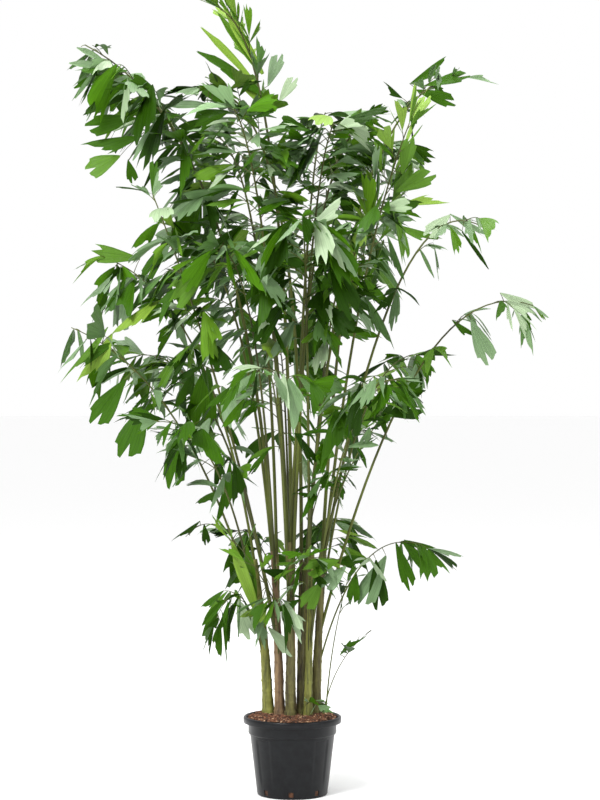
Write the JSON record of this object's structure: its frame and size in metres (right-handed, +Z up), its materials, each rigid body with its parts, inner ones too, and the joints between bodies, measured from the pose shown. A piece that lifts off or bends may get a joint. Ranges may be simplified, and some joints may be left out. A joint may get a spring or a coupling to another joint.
{
  "type": "potted fishtail palm",
  "caption": "Tall clump of fishtail palm in a round black nursery pot: slender sheathed canes carry arching, twice-divided fronds of ragged wedge-shaped leaflets.",
  "frame": {"origin": "centre of the pot's flat underside", "axes": "+Z up along the pot's axis; the view of the picture is from -Y, with +X to the right"},
  "size_m": [1.9627, 1.5845, 3.2526],
  "materials": {
    "black_plastic": "satin",
    "bark_compost": "rough",
    "cane_sheath": "rough",
    "leaf": "satin",
    "young_leaf": "satin"
  },
  "bodies": {
    "root": {"cane_back": "cane_sheath", "cane_front": "cane_sheath", "cane_green": "cane_sheath", "cane_left": "cane_sheath", "cane_rear_left": "cane_sheath", "cane_rear_right": "cane_sheath", "cane_right": "cane_sheath", "cane_ringed": "cane_sheath", "cane_slim": "cane_sheath", "frond_back_high": "leaf", "frond_back_high_left": "leaf", "frond_back_high_right": "leaf", "frond_back_low": "leaf", "frond_back_low_left": "leaf", "frond_back_low_right": "leaf", "frond_back_mid": "leaf", "frond_back_mid_left": "leaf", "frond_back_mid_right": "leaf", "frond_front_high": "leaf", "frond_front_high_left": "leaf", "frond_front_low": "leaf", "frond_front_low_left": "leaf", "frond_front_low_right": "leaf", "frond_front_mid": "leaf", "frond_front_mid_left": "leaf", "frond_front_mid_right": "leaf", "frond_left_crest": "leaf", "frond_left_front": "leaf", "frond_left_high": "leaf", "frond_left_low": "leaf", "frond_left_mid": "leaf", "frond_right_high": "leaf", "frond_right_inner": "leaf", "frond_right_low": "leaf", "frond_right_mid": "leaf", "frond_right_young": "young_leaf", "frond_top": "young_leaf", "frond_top_right": "leaf", "pot": "black_plastic", "root_ball": "bark_compost", "spray_back_left": "leaf", "spray_back_right": "leaf", "spray_front_left": "leaf", "spray_front_right": "leaf", "spray_inner_right": "leaf", "spray_left_arched": "leaf", "spray_left_thin": "leaf", "spray_left_young": "young_leaf", "spray_right": "leaf", "sucker_front": "leaf", "sucker_right": "leaf", "sucker_right_thin": "leaf"}
  },
  "joints": []
}
